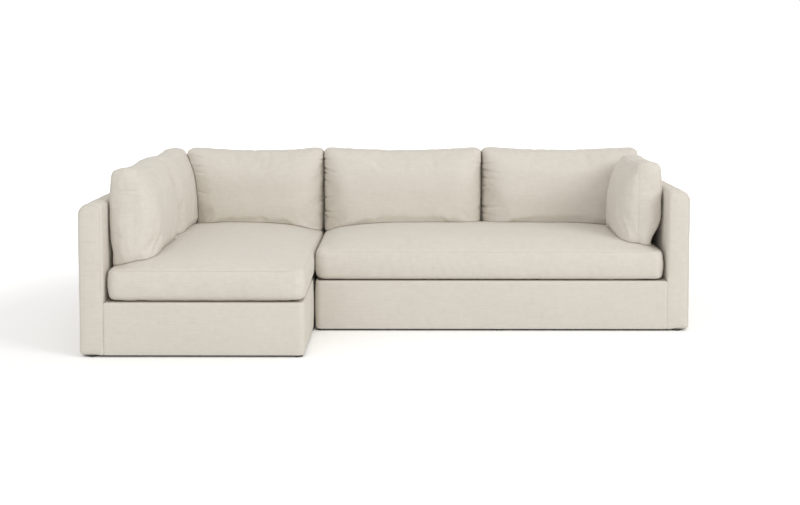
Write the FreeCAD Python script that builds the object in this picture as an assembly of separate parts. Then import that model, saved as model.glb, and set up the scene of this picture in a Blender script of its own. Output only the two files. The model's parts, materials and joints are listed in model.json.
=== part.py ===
"""Two-piece sectional sofa: a chaise module with a long left arm, and a bench sofa module with a right arm.

Millimetres. X runs along the sofa, -Y is the front, +Z is up. The origin is on the floor, at the
middle of the footprint.
"""
import FreeCAD
import Part
import math
import os

V = FreeCAD.Vector

# Overall sizes
overall_width = 3000.0
chaise_width = 1060.0
chaise_depth = 1650.0
sofa_depth = 1065.0
module_gap = 12.0

# Upholstered slabs: arm, back and base of each module
arm_height = 730.0
arm_thickness = 115.0
back_thickness = 115.0
deck_height = 260.0
floor_gap = 10.0
arm_outer_radius = 56.0
arm_inner_radius = 26.0
slab_edge_radius = 18.0
base_corner_radius = 30.0
base_rim_radius = 9.0
pad_thickness = 14.0
top_pad_thickness = 30.0

# Hardwood frame inside the slabs
frame_clearance = 1.0
rail_thickness = 28.0
slat_height = 110.0
block_side = 55.0
block_height = 120.0
post_width = 45.0
stud_pitch = 620.0

# Webbing and cloths
strap_width = 70.0
strap_thickness = 2.0
strap_hold = 6.0
strap_pitch = 150.0
strap_level = 0.15
deck_cloth_thickness = 3.0
dust_cloth_thickness = 1.5

# Glides, and the wooden ties that join the frames
glide_radius = 20.0
glide_span = 950.0
tie_width = 60.0
tie_height = 30.0
tie_bite = 20.0
tie_clearance = 0.5
ties_per_side = 2

# Interlocking connectors in the gap between the modules
connector_spread = 560.0
socket_width = 74.0
socket_bottom = 62.0
socket_height = 118.0
socket_plate = 2.6
socket_floor = 6.0
lip_height = 46.0
lip_thickness = 2.4
hook_width = 34.0
hook_height = 98.0
hook_plate = 2.6
hook_clearance = 0.5
tongue_lead = 7.0
tongue_tip = 0.8
plate_hole_radius = 2.7
plate_hole_inset = 9.0
plate_hole_drop = 20.0

# Seat cushions: boxed foam cushions with a deep crown
seat_lift = 0.5
seat_boxing = 152.0
seat_crown = 70.0
seat_crown_run = 320.0
seat_crown_turn = 34.0
seat_arm_gap = 10.0
seat_rear_gap = 12.0
seat_side_gap = 4.0
seat_front_setback = 6.0
seat_edge_radius = 20.0
seat_end_radius = 50.0

# Upright cushions: three back cushions, two along the long arm, one on the short arm
upright_top = 888.0
upright_rear_gap = 10.0
upright_gap = 4.0
upright_settle = 5.0
upright_edge = 104.0
upright_top_run = 184.0
upright_foot_run = 181.0
upright_top_turn = 70.0
upright_foot_turn = 90.0
upright_top_radius = 26.0
upright_foot_radius = 62.0
upright_end_radius = 66.0
upright_end_draw = 0.3
upright_top_dip = 15.0
back_cushion_thickness = 276.0
side_cushion_thickness = 228.0
side_cushion_setback = 94.0
side_cushion_rear_gap = 49.0
arm_cushion_drop = 14.0

# How many straight pieces each rounding of a cushion's outline is sewn from
corner_pieces = 3
crown_turn_pieces = 3
crown_run_pieces = 4

# How an outline closes towards a cushion's ends, as shares of the end's radius or of the crown's run
end_share = 0.1
first_station = 0.3
far_station = 0.45
crown_lead = 0.15
crown_stretch = 1.3
run_over_rise = 1.05
head_close = 0.4
least_corner = 8.0

# Foam cores inside the cushion covers
seat_wadding = 16.0
upright_wadding = 14.0
core_inset = 44.0
core_clearance = 0.6

# Concealed zips in the hidden side of each cushion
zip_width = 6.0
zip_thickness = 2.0
zip_sunk = 0.8
zip_end_margin = 120.0
seat_zip_height = 62.0
upright_zip_height = 95.0
slider_length = 13.0
slider_wall = 1.4
slider_clearance = 0.5
slider_offset = 6.0
tab_length = 22.0
tab_width = 5.0
tab_thickness = 1.0
tab_inset = 5.0

# Places worked out from the driving sizes
half_width = overall_width / 2
back_y = chaise_depth / 2
chaise_front_y = back_y - chaise_depth
sofa_front_y = back_y - sofa_depth
inner_back_y = back_y - back_thickness
chaise_x = (-half_width, -half_width + chaise_width)
sofa_x = (chaise_x[1] + module_gap, half_width)
split_x = (chaise_x[1] + sofa_x[0]) / 2
long_arm_face = chaise_x[0] + arm_thickness
short_arm_face = sofa_x[1] - arm_thickness
rail_top = deck_height - deck_cloth_thickness - 2 * strap_thickness
frame_top = arm_height - top_pad_thickness - frame_clearance


# Plain shapes


def block(x0, x1, y0, y1, z0, z1):
    """A box between two corners."""
    return Part.makeBox(x1 - x0, y1 - y0, z1 - z0, V(x0, y0, z0))


def prism(points, sweep):
    """A flat outline, swept along a vector."""
    return Part.Face(Part.makePolygon(points + points[:1])).extrude(sweep)


def rod(radius, start, sweep):
    """A round rod along a vector."""
    return Part.makeCylinder(radius, sweep.Length, start, sweep)


def group(solids):
    """Separate solids that share one node."""
    return Part.makeCompound(solids)


def opened(shape, tools):
    """The shape with a clear opening for each of a list of solids."""
    return shape.cut(tools) if tools else shape


def panel(a, b, c, d):
    """The face between the straight edges a-b and d-c: a plane where the four corners are in one."""
    normal = (b - a).cross(d - a)
    if normal.Length > 0 and abs((c - a).dot(normal.normalize())) < 1e-6:
        return Part.Face(Part.makePolygon([a, b, c, d, a]))
    return Part.makeRuledSurface(Part.makeLine(a, b), Part.makeLine(d, c))


def loft(sections):
    """A solid through flat outlines of as many points each, with flat panels between neighbours."""
    count = len(sections[0])
    faces = [Part.Face(Part.makePolygon(ring + ring[:1])) for ring in (sections[0], sections[-1])]
    for near, far in zip(sections, sections[1:]):
        for k in range(count):
            nxt = (k + 1) % count
            faces.append(panel(near[k], near[nxt], far[nxt], far[k]))
    shell = Part.makeShell(faces)
    shell.sewShape()
    return Part.makeSolid(shell)


def evenly(start, end, count):
    """Centres spaced evenly, with half a space at each end."""
    step = (end - start) / count
    return [start + step * (k + 0.5) for k in range(count)]


def padded_room(low, high):
    """The clear span between two padded walls."""
    return low + pad_thickness, high - pad_thickness


def framed_room(low, high):
    """The span that a frame takes between two padded walls."""
    room = padded_room(low, high)
    return room[0] + frame_clearance, room[1] - frame_clearance


def rim_edges(shape, axis, level):
    """The edges that lie wholly in the plane where one coordinate has a value."""
    at = {"X": lambda p: p.x, "Y": lambda p: p.y}[axis]
    return [e for e in shape.Edges if all(abs(at(v.Point) - level) < 1e-6 for v in e.Vertexes)]


def upright_edges(shape, where):
    """The straight vertical edges whose middle passes a test."""
    found = []
    for edge in shape.Edges:
        ends = [v.Point for v in edge.Vertexes]
        if len(ends) == 2 and math.hypot(ends[1].x - ends[0].x, ends[1].y - ends[0].y) < 1e-6:
            if where((ends[0] + ends[1]) * 0.5):
                found.append(edge)
    return found


# Upholstered slabs


def rounded_slab(low, high, left_radius, right_radius, run, place):
    """A slab whose section has two rounded top corners, swept along a straight run.

    low and high are the (across, up) corners of the section; place maps (across, along, up) to a point.
    """
    (a0, z0), (a1, z1) = low, high
    turn = 1 - math.sqrt(0.5)
    start, end = run
    outline = [
        (a0, z0), (a0, z1 - left_radius), (a0 + left_radius * turn, z1 - left_radius * turn),
        (a0 + left_radius, z1), (a1 - right_radius, z1),
        (a1 - right_radius * turn, z1 - right_radius * turn), (a1, z1 - right_radius), (a1, z0),
    ]
    p = [place(a, start, z) for a, z in outline]
    edges = [
        Part.makeLine(p[0], p[1]),
        Part.Arc(p[1], p[2], p[3]).toShape(),
        Part.makeLine(p[3], p[4]),
        Part.Arc(p[4], p[5], p[6]).toShape(),
        Part.makeLine(p[6], p[7]),
        Part.makeLine(p[7], p[0]),
    ]
    return Part.Face(Part.Wire(edges)).extrude(place(a0, end, z0) - p[0])


def arm_cover(x0, x1, front_y, outer_is_left):
    """The arm's padded cover: a tall slab, hollow for its frame and open below."""
    radii = (arm_outer_radius, arm_inner_radius)
    left, right = radii if outer_is_left else radii[::-1]
    low, high = (x0, floor_gap), (x1, arm_height)
    slab = rounded_slab(low, high, left, right, (front_y, back_y), lambda a, s, z: V(a, s, z))
    slab = slab.makeFillet(slab_edge_radius, rim_edges(slab, "Y", front_y) + rim_edges(slab, "Y", back_y))
    inner_y = padded_room(front_y, back_y)
    room = block(*padded_room(x0, x1), *inner_y, floor_gap, arm_height - top_pad_thickness)
    return slab.cut(room)


def back_cover(x0, x1, open_x):
    """The back's padded cover, rounded along the top and softened at its open end."""
    low, high = (inner_back_y, floor_gap), (back_y, arm_height)
    slab = rounded_slab(low, high, arm_inner_radius, arm_inner_radius, (x0, x1), lambda a, s, z: V(s, a, z))
    slab = slab.makeFillet(slab_edge_radius, rim_edges(slab, "X", open_x))
    inner_y = padded_room(inner_back_y, back_y)
    room = block(*padded_room(x0, x1), *inner_y, floor_gap, arm_height - top_pad_thickness)
    return slab.cut(room)


def base_cover(x0, x1, front_y, open_x):
    """The padded band round the seat base, open above for the deck and below for the dust cloth."""
    band = block(x0, x1, front_y, inner_back_y, floor_gap, deck_height)
    band = band.makeFillet(
        base_corner_radius,
        upright_edges(band, lambda p: abs(p.x - open_x) < 1 and abs(p.y - front_y) < 1),
    )
    band = band.makeFillet(base_rim_radius, rim_edges(band, "Y", front_y))
    room = block(*padded_room(x0, x1), *padded_room(front_y, inner_back_y), floor_gap, deck_height)
    return band.cut(room)


# Hardwood frames


def wall_frame(x0, x1, y0, y1):
    """The frame of an arm or a back: a sill, a top rail and posts between them along its longer side."""
    along_x = x1 - x0 > y1 - y0
    start, end = (x0, x1) if along_x else (y0, y1)
    spaces = max(1, round((end - start - post_width) / stud_pitch))
    step = (end - start - post_width) / spaces
    sill_top = floor_gap + post_width
    boards = [
        block(x0, x1, y0, y1, floor_gap, sill_top),
        block(x0, x1, y0, y1, frame_top - post_width, frame_top),
    ]
    for k in range(spaces + 1):
        at = start + step * k
        span = (at, at + post_width, y0, y1) if along_x else (x0, x1, at, at + post_width)
        boards.append(block(*span, sill_top, frame_top - post_width))
    return boards


def base_rails(x0, x1, y0, y1):
    """Front and rear rails of the seat base, with two side rails between them."""
    inner_y0, inner_y1 = y0 + rail_thickness, y1 - rail_thickness
    return [
        block(x0, x1, y0, inner_y0, floor_gap, rail_top),
        block(x0, x1, inner_y1, y1, floor_gap, rail_top),
        block(x0, x0 + rail_thickness, inner_y0, inner_y1, floor_gap, rail_top),
        block(x1 - rail_thickness, x1, inner_y0, inner_y1, floor_gap, rail_top),
    ]


def corner_blocks(x0, x1, y0, y1):
    """Triangular glue blocks in the four corners between the rails, clear of the webbing."""
    solids = []
    top = rail_top - strap_thickness
    for x, turn_x in ((x0 + rail_thickness, 1), (x1 - rail_thickness, -1)):
        for y, turn_y in ((y0 + rail_thickness, 1), (y1 - rail_thickness, -1)):
            corner = V(x, y, top)
            points = [corner, corner + V(turn_x * block_side, 0, 0), corner + V(0, turn_y * block_side, 0)]
            solids.append(prism(points, V(0, 0, -block_height)))
    return solids


def cross_slats(x0, x1, y0, y1, across_x):
    """Two stiffening boards between opposite rails, a third and two thirds of the way along."""
    x0, x1, y0, y1 = x0 + rail_thickness, x1 - rail_thickness, y0 + rail_thickness, y1 - rail_thickness
    start, end = (y0, y1) if across_x else (x0, x1)
    half = rail_thickness / 2
    solids = []
    for share in (1 / 3, 2 / 3):
        at = start + (end - start) * share
        span = (x0, x1, at - half, at + half) if across_x else (at - half, at + half, y0, y1)
        solids.append(block(*span, floor_gap, floor_gap + slat_height))
    return solids


# Webbing


def flat_strap(x, y0, y1):
    """A strap laid front to back over the rails."""
    half = strap_width / 2
    return block(x - half, x + half, y0, y1, rail_top, rail_top + strap_thickness)


def woven_strap(y, x0, x1, crossings, over_first):
    """A strap laid side to side that passes over and under the front-to-back straps in turn."""
    reach = strap_width / 2 + (crossings[1] - crossings[0] - strap_width) * strap_level
    rail_edge = rail_thickness - strap_hold
    levels = [(x0, rail_top), (x0 + rail_edge, rail_top)]
    for k, x in enumerate(crossings):
        over = (k % 2 == 0) == over_first
        level = rail_top + strap_thickness if over else rail_top - strap_thickness
        levels += [(x - reach, level), (x + reach, level)]
    levels += [(x1 - rail_edge, rail_top), (x1, rail_top)]
    lower = [V(x, y - strap_width / 2, z) for x, z in levels]
    upper = [V(x, y - strap_width / 2, z + strap_thickness) for x, z in reversed(levels)]
    return prism(lower + upper, V(0, strap_width, 0))


def webbing(x0, x1, y0, y1):
    """Two crossed sets of straps, woven where they cross and fixed on the rails."""
    inner_x = (x0 + rail_thickness, x1 - rail_thickness)
    inner_y = (y0 + rail_thickness, y1 - rail_thickness)
    columns = evenly(*inner_x, max(2, round((inner_x[1] - inner_x[0]) / strap_pitch)))
    rows = evenly(*inner_y, max(2, round((inner_y[1] - inner_y[0]) / strap_pitch)))
    straps = [flat_strap(x, y0 + strap_hold, y1 - strap_hold) for x in columns]
    for k, y in enumerate(rows):
        straps.append(woven_strap(y, x0 + strap_hold, x1 - strap_hold, columns, k % 2 == 0))
    return straps


# Glides and ties


def glide(x, y):
    """A low round glide, pressed on under the dust cloth."""
    return rod(glide_radius, V(x, y, 0), V(0, 0, floor_gap - dust_cloth_thickness))


def glide_places(arm_x, open_x, front_line, rear_line, columns, rows):
    """A grid of glides under the sills and rails, with none under the open middle."""
    xs = [arm_x + (open_x - arm_x) * i / (columns - 1) for i in range(columns)]
    ys = [front_line + (rear_line - front_line) * j / (rows - 1) for j in range(rows)]
    inner = [(x, y) for x in xs[1:-1] for y in ys[1:-1]]
    return [(x, y) for x in xs for y in ys if (x, y) not in inner]


def frame_ties(places, direction):
    """Glued wooden ties from a base rail into the sill of the arm or back beside it, and their mortises.

    A place is the middle of a rail's face towards that sill, at mid-height of the tie.
    """
    across = V(abs(direction.y), abs(direction.x), 0)
    reach = tie_bite + 2 * (frame_clearance + pad_thickness) + tie_bite

    def bar(place, grow):
        half = across * (tie_width / 2 + grow) + V(0, 0, tie_height / 2 + grow)
        corner = place - direction * (tie_bite + grow) - half
        other = corner + direction * (reach + 2 * grow) + half * 2
        low = [min(p, q) for p, q in zip(corner, other)]
        high = [max(p, q) for p, q in zip(corner, other)]
        return block(low[0], high[0], low[1], high[1], low[2], high[2])

    return [bar(p, 0.0) for p in places], [bar(p, tie_clearance) for p in places]


# Connectors


def plate(outline, y, width):
    """A bent plate: an (x, z) outline as wide as a connector along Y."""
    return prism([V(x, y - width / 2, z) for x, z in outline], V(0, width, 0))


def connector_rows():
    """Where the connectors stand along the shared side of the modules."""
    middle = (sofa_front_y + inner_back_y) / 2
    return [middle - connector_spread / 2, middle + connector_spread / 2]


def connector_socket(y):
    """The pocket plate on the chaise's side: a back plate, a floor and a lip that stands up."""
    face = chaise_x[1]
    lip = face + socket_plate + hook_plate + 2 * hook_clearance
    floor = socket_bottom + socket_floor
    lip_top = socket_bottom + lip_height
    top = socket_bottom + socket_height
    outline = [
        (face, socket_bottom), (lip + lip_thickness, socket_bottom), (lip + lip_thickness, lip_top),
        (lip + tongue_tip, lip_top), (lip, lip_top - tongue_lead), (lip, floor),
        (face + socket_plate, floor), (face + socket_plate, top), (face, top),
    ]
    return plate(outline, y, socket_width)


def connector_hook(y):
    """The hook plate on the sofa's side: it steps over the lip and its tongue drops into the pocket."""
    face = sofa_x[0]
    tongue = chaise_x[1] + socket_plate + hook_clearance
    floor = socket_bottom + socket_floor + hook_clearance
    step = socket_bottom + lip_height + hook_clearance
    top = step + hook_height
    outline = [
        (tongue + tongue_tip, floor), (tongue + hook_plate - tongue_tip, floor),
        (tongue + hook_plate, floor + tongue_lead), (tongue + hook_plate, step), (face, step),
        (face, top), (face - hook_plate, top), (face - hook_plate, step + hook_plate),
        (tongue, step + hook_plate), (tongue, floor + tongue_lead),
    ]
    return plate(outline, y, hook_width)


def screw_holes(y, width, face, height):
    """The two screw holes of a connector plate that lies on a face."""
    spread = width / 2 - plate_hole_inset
    start = V(face - socket_plate * 2, 0, height)
    through = V(socket_plate * 4, 0, 0)
    return [rod(plate_hole_radius, start + V(0, y + side * spread, 0), through) for side in (-1, 1)]


# Cushions


def rise(distance, run):
    """How far a crown has risen, from 0 at an edge to 1 a run away from it: a quarter ellipse."""
    return math.sqrt(1 - (1 - min(max(distance, 0.0) / run, 1.0)) ** 2)


def arc_points(across, up, radius, start, end, pieces):
    """Points along an arc about a centre, between two angles in degrees from the across axis."""
    angles = [math.radians(start + (end - start) * k / pieces) for k in range(pieces + 1)]
    return [(across + radius * math.cos(a), up + radius * math.sin(a)) for a in angles]


def crown_side(edge, inward, level, height, run, turn):
    """Two tangent arcs from an edge up to the flat of the crown, as points in (across, up).

    A small arc of radius turn leaves the edge upright. A large one, centred below the end of the run,
    carries on from it and arrives level at the top. The run is always a little longer than the rise.
    """
    run = max(run, height * run_over_rise)
    large = ((run - turn) ** 2 / (height - turn) + height + turn) / 2
    lean = math.degrees(math.atan2(run - turn, large - height))
    small_arc = arc_points(-turn, 0.0, turn, 0, 90 - lean, crown_turn_pieces)
    large_arc = arc_points(-run, height - large, large, 90 - lean, 90, crown_run_pieces)
    return [(edge - inward * across, level + up) for across, up in small_arc + large_arc[1:]]


class Crown:
    """How a cushion swells: its boxed edge, how high it rises and how it runs down to its edges and ends."""

    def __init__(self, edge, height, runs, turns, radii, end_radius, end_draw):
        self.edge = edge
        self.height = height
        self.run_low, self.run_high = runs
        self.turn_low, self.turn_high = turns
        self.radius_low, self.radius_high = radii
        self.end_radius = end_radius
        self.end_draw = end_draw


class Cushion:
    """A stuffed cushion in its own frame: s along it, w across it, t from its flat side to its crown."""

    def __init__(self, length, low, high, crown, wadding, placement):
        self.length = length
        self.low = low
        self.high = high
        self.crown = crown
        self.wadding = wadding
        self.placement = placement

    def stations(self):
        """Where the sections stand: close together at the rounded ends, far apart along the middle."""
        end, run, middle = self.crown.end_radius, self.crown.run_low, self.length / 2
        near = [0.0, end * first_station, end, run, run + (middle - run) * far_station]
        near = [d for d in near if d < middle - least_corner]
        return near + [middle] + [self.length - d for d in reversed(near)]

    def section(self, s):
        """The closed outline at one station: a flat side, two boxed edges and a crown between them."""
        c = self.crown
        near = min(s, self.length - s)
        share = min(1.0, end_share + (1 - end_share) * near / c.end_radius)
        inset = c.end_radius * (1 - math.sqrt(1 - (1 - share) ** 2))
        w0, w1 = self.low(s) + inset, self.high(s) - inset
        base = inset * c.end_draw
        edge = c.edge - base
        swell = rise(near + c.end_radius * crown_lead, c.run_low * crown_stretch)
        high_side = crown_side(w1, -1, edge, c.height * swell, c.run_high * swell, c.turn_high * swell)
        low_side = crown_side(w0, 1, edge, c.height * swell, c.run_low * swell, c.turn_low * swell)
        head = max(c.radius_high - inset * head_close, least_corner)
        foot = max(c.radius_low - inset, least_corner)
        outline = arc_points(w1 - head, base + head, head, -90, 0, corner_pieces) + high_side
        outline += low_side[::-1] + arc_points(w0 + foot, base + foot, foot, 180, 270, corner_pieces)
        return [V(s, w, t) for w, t in outline]

    def core(self, grow):
        """The foam slab that fills the cover, grown on every side by an amount."""
        spots = [s for s in self.stations() if core_inset < s < self.length - core_inset]
        low = max(self.low(s) for s in spots) + core_inset
        high = min(self.high(s) for s in spots) - core_inset
        return block(
            core_inset - grow, self.length - core_inset + grow, low - grow, high + grow,
            self.wadding - grow, self.crown.edge - self.wadding + grow,
        )

    def placed(self, shape):
        """The shape, moved from the cushion's own frame to its place on the sofa."""
        moved = shape.copy()
        moved.Placement = self.placement.multiply(moved.Placement)
        return moved

    def foam(self):
        """The foam core in its place."""
        return self.placed(self.core(0.0))

    def cover(self, chain):
        """The sewn cover with its wadding, hollow for the core, and the zip chain set into it."""
        skin = loft([self.section(s) for s in self.stations()])
        skin = self.placed(skin.cut(self.core(core_clearance)))
        return group([skin.cut(chain), chain])


def seat_cushion(x0, x1, y0, y1):
    """A seat cushion that lies on its deck: s along X, w along Y, t up."""
    crown = Crown(
        seat_boxing, seat_crown, (seat_crown_run, seat_crown_run), (seat_crown_turn, seat_crown_turn),
        (seat_edge_radius, seat_edge_radius), seat_end_radius, 0.0,
    )
    placement = FreeCAD.Placement(V(x0, 0, deck_height + seat_lift), FreeCAD.Rotation())
    return Cushion(x1 - x0, lambda s: y0, lambda s: y1, crown, seat_wadding, placement)


def seat_top(seat, x, y):
    """The height of a seat cushion's crown at a point, where an upright cushion stands on it."""
    s = x - seat.placement.Base.x
    along = min(s, seat.length - s) + seat_end_radius * crown_lead
    across = min(y - seat.low(s), seat.high(s) - y)
    crown = seat_crown * rise(along, seat_crown_run * crown_stretch) * rise(across, seat_crown_run)
    return deck_height + seat_lift + seat_boxing + crown


def upright_cushion(seat, length, thickness, top, corner, angle):
    """A cushion that stands on a seat: s along it, w up, t from its flat back to its crowned face.

    corner is the point on the floor below the end of its back face where s is 0, and angle turns it
    about Z. Its foot follows the seat's crown and its top dips between its two upper corners.
    """
    turn = FreeCAD.Rotation(V(0, 0, 1), angle)
    along, outward = turn.multVec(V(1, 0, 0)), turn.multVec(V(0, -1, 0))

    def low(s):
        spots = [corner + along * s + outward * (thickness * share) for share in (0.0, 0.5, 1.0)]
        return max(seat_top(seat, p.x, p.y) for p in spots) + upright_settle

    def high(s):
        return top - upright_top_dip * rise(min(s, length - s), length / 2) ** 2

    crown = Crown(
        upright_edge, thickness - upright_edge, (upright_foot_run, upright_top_run),
        (upright_foot_turn, upright_top_turn), (upright_foot_radius, upright_top_radius),
        upright_end_radius, upright_end_draw,
    )
    placement = FreeCAD.Placement(corner, turn.multiply(FreeCAD.Rotation(V(1, 0, 0), 90)))
    return Cushion(length, low, high, crown, upright_wadding, placement)


# Zips


def zip_seat(cushion, lies_flat):
    """Where a zip starts: its X along the cushion and its Z out of the cushion's hidden side."""
    if lies_flat:
        local = FreeCAD.Placement(
            V(zip_end_margin, cushion.high(cushion.length / 2), seat_zip_height),
            FreeCAD.Rotation(V(1, 0, 0), -90),
        )
    else:
        height = max(cushion.low(s) for s in cushion.stations()) + upright_zip_height
        local = FreeCAD.Placement(V(zip_end_margin, height, 0), FreeCAD.Rotation(V(1, 0, 0), 180))
    return cushion.placement.multiply(local)


def zip_chain(cushion, seat):
    """The closed teeth of the zip: a ribbon half sunk in the cover."""
    length = cushion.length - 2 * zip_end_margin
    ribbon = Part.makeBox(length, zip_width, zip_thickness, V(0, -zip_width / 2, -zip_sunk))
    ribbon.Placement = seat
    return ribbon


def zip_slider(seat):
    """The slider that straddles the chain, with its pull tab lying along it."""
    slot = zip_width / 2 + slider_clearance
    outer = slot + slider_wall
    under = zip_thickness - zip_sunk + slider_clearance
    crest = under + slider_wall
    section = [
        (-outer, slider_clearance), (-slot, slider_clearance), (-slot, under), (slot, under),
        (slot, slider_clearance), (outer, slider_clearance), (outer, crest), (-outer, crest),
    ]
    body = prism([V(slider_offset, y, z) for y, z in section], V(slider_length, 0, 0))
    tab_corner = V(slider_offset + tab_inset, -tab_width / 2, crest)
    tab = Part.makeBox(tab_length, tab_width, tab_thickness, tab_corner)
    slider = body.fuse(tab).removeSplitter()
    slider.Placement = seat
    return slider


# Modules


def module(name, x_span, front_y, arm_is_left):
    """Every piece of one module but its connectors and cushions, as node name to shape."""
    x0, x1 = x_span
    if arm_is_left:
        arm = (x0, x0 + arm_thickness)
        seat = (arm[1], x1)
        open_x, to_arm = x1, V(-1, 0, 0)
    else:
        arm = (x1 - arm_thickness, x1)
        seat = (x0, arm[0])
        open_x, to_arm = x0, V(1, 0, 0)

    rx0, rx1 = framed_room(*seat)
    ry0, ry1 = framed_room(front_y, inner_back_y)
    room = (rx0, rx1, ry0, ry1)

    # Ties run from the side rail into the arm's sill and from the rear rail into the back's sill
    tie_z = floor_gap + post_width / 2
    side_x = rx0 if arm_is_left else rx1
    side_rows = evenly(ry0 + rail_thickness, ry1 - rail_thickness, ties_per_side)
    rear_columns = evenly(rx0 + rail_thickness, rx1 - rail_thickness, ties_per_side)
    arm_ties, arm_mortises = frame_ties([V(side_x, y, tie_z) for y in side_rows], to_arm)
    back_ties, back_mortises = frame_ties([V(x, ry1, tie_z) for x in rear_columns], V(0, 1, 0))
    mortises = arm_mortises + back_mortises

    # Glides stand under the sills and the open side's rail
    open_rail = open_x + to_arm.x * (pad_thickness + frame_clearance + rail_thickness / 2)
    columns = max(2, round((x1 - x0) / glide_span) + 1)
    rows = max(2, round((back_y - front_y) / glide_span) + 1)
    front_rail = ry0 + rail_thickness / 2
    places = glide_places(sum(arm) / 2, open_rail, front_rail, (inner_back_y + back_y) / 2, columns, rows)

    deck_x, deck_y = padded_room(*seat), padded_room(front_y, inner_back_y)
    deck = block(*deck_x, *deck_y, deck_height - deck_cloth_thickness, deck_height)
    dust_x, dust_y = framed_room(x0, x1), framed_room(front_y, back_y)
    dust = block(*dust_x, *dust_y, floor_gap - dust_cloth_thickness, floor_gap)

    arm_frame = group(wall_frame(*framed_room(*arm), *framed_room(front_y, back_y)))
    back_frame = group(wall_frame(*framed_room(*seat), *framed_room(inner_back_y, back_y)))
    return {
        f"{name}_base_rails": opened(group(base_rails(*room)), mortises),
        f"{name}_cross_slats": group(cross_slats(*room, arm_is_left)),
        f"{name}_corner_blocks": group(corner_blocks(*room)),
        f"{name}_webbing": group(webbing(*room)),
        f"{name}_deck_cloth": deck,
        f"{name}_base_cover": opened(base_cover(*seat, front_y, open_x), mortises),
        f"{name}_arm_frame": opened(arm_frame, arm_mortises),
        f"{name}_arm_cover": opened(arm_cover(*arm, front_y, arm_is_left), arm_mortises),
        f"{name}_back_frame": opened(back_frame, back_mortises),
        f"{name}_back_cover": opened(back_cover(*seat, open_x), back_mortises),
        f"{name}_frame_ties": group(arm_ties + back_ties),
        f"{name}_dust_cloth": dust,
        f"{name}_glides": group([glide(x, y) for x, y in places]),
    }


def connectors():
    """The sockets on the chaise's side and the hooks on the sofa's side."""
    socket_line = socket_bottom + socket_height - plate_hole_drop
    hook_line = socket_bottom + lip_height + hook_clearance + hook_height - plate_hole_drop
    sockets, hooks = [], []
    for y in connector_rows():
        sockets.append(opened(connector_socket(y), screw_holes(y, socket_width, chaise_x[1], socket_line)))
        hooks.append(opened(connector_hook(y), screw_holes(y, hook_width, sofa_x[0], hook_line)))
    return sockets, hooks


def cushions():
    """Every cushion by name, with whether it lies flat."""
    rear = inner_back_y - seat_rear_gap
    half_seat_gap = seat_side_gap / 2
    chaise_seat = seat_cushion(
        long_arm_face + seat_arm_gap, split_x - half_seat_gap, chaise_front_y + seat_front_setback, rear)
    bench_seat = seat_cushion(
        split_x + half_seat_gap, short_arm_face - seat_arm_gap, sofa_front_y + seat_front_setback, rear)

    # Back cushions lean on the backs, side by side between the corner and the short arm
    back_plane = inner_back_y - upright_rear_gap
    half_gap = upright_gap / 2
    corner_x = long_arm_face + upright_rear_gap + side_cushion_thickness + upright_gap
    middle_x = (split_x + short_arm_face) / 2

    def leaning_back(seat, x0, x1):
        return upright_cushion(seat, x1 - x0, back_cushion_thickness, upright_top, V(x0, back_plane, 0), 0)

    # Side cushions lean on the arms: two in a row on the long one, one on the short one
    long_plane = long_arm_face + upright_rear_gap
    short_plane = short_arm_face - upright_rear_gap
    first_y = chaise_front_y + side_cushion_setback
    last_y = inner_back_y - side_cushion_rear_gap
    side_length = (last_y - first_y - upright_gap) / 2
    arm_y = back_plane - back_cushion_thickness - upright_gap
    arm_length = arm_y - sofa_front_y - side_cushion_setback

    def leaning_side(y):
        return upright_cushion(
            chaise_seat, side_length, side_cushion_thickness, upright_top, V(long_plane, y, 0), 90)

    arm_corner = V(short_plane, arm_y, 0)
    arm_side = upright_cushion(
        bench_seat, arm_length, side_cushion_thickness, upright_top - arm_cushion_drop, arm_corner, -90)
    return {
        "chaise_seat": (chaise_seat, True),
        "bench_seat": (bench_seat, True),
        "corner_back": (leaning_back(chaise_seat, corner_x, split_x - half_gap), False),
        "middle_back": (leaning_back(bench_seat, split_x + half_gap, middle_x - half_gap), False),
        "right_back": (leaning_back(bench_seat, middle_x + half_gap, short_plane), False),
        "front_side": (leaning_side(first_y), False),
        "rear_side": (leaning_side(last_y - side_length), False),
        "arm_side": (arm_side, False),
    }


def build():
    """Every node of the sofa, by name."""
    nodes = module("chaise", chaise_x, chaise_front_y, True)
    nodes.update(module("sofa", sofa_x, sofa_front_y, False))
    sockets, hooks = connectors()
    nodes["connector_sockets"] = group(sockets)
    nodes["connector_hooks"] = group(hooks)
    for name, (cushion, lies_flat) in cushions().items():
        seat = zip_seat(cushion, lies_flat)
        nodes[f"{name}_cover"] = cushion.cover(zip_chain(cushion, seat))
        nodes[f"{name}_core"] = cushion.foam()
        nodes[f"{name}_zip_slider"] = zip_slider(seat)
    return nodes


def main():
    """Write one file for each node."""
    os.makedirs("parts", exist_ok=True)
    for name, shape in build().items():
        shape.exportStep(f"parts/{name}.step")
        print(name, len(shape.Solids), round(shape.Volume), shape.isValid())


main()
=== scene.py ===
import json
import math

import bmesh
import bpy
import numpy as np
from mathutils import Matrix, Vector
from mathutils.bvhtree import BVHTree


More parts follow.
